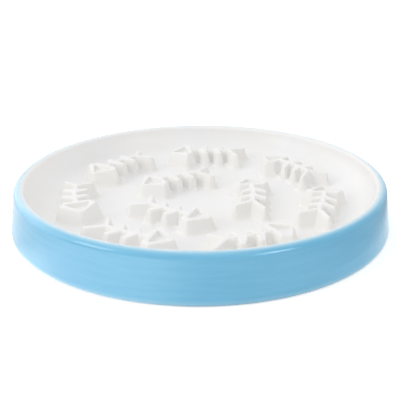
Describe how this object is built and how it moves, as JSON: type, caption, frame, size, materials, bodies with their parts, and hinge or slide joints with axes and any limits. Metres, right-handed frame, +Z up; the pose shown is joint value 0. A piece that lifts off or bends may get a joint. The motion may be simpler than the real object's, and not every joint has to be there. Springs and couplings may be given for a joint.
{
  "type": "slow feeder bowl",
  "caption": "Shallow round glazed stoneware pet bowl with a sky-blue wall and a white dished floor with raised fishbone figures that slow eating.",
  "frame": {"origin": "centre of the foot, on the table", "axes": "+Z up out of the open bowl; the picture looks along +Y and down"},
  "size_m": [0.25, 0.25, 0.0293],
  "materials": {
    "white_glaze": "glossy white glaze over pale stoneware, bare at the foot",
    "blue_glaze": "glossy sky-blue glaze that thins over the rim",
    "relief_glaze": "glossy white glaze, soft over the edges"
  },
  "bodies": {
    "root": {"bowl_body": "white_glaze", "outer_glaze": "blue_glaze", "fishbone_01": "relief_glaze", "fishbone_02": "relief_glaze", "fishbone_03": "relief_glaze", "fishbone_04": "relief_glaze", "fishbone_05": "relief_glaze", "fishbone_06": "relief_glaze", "fishbone_07": "relief_glaze", "fishbone_08": "relief_glaze", "fishbone_09": "relief_glaze", "fishbone_10": "relief_glaze"}
  },
  "joints": []
}
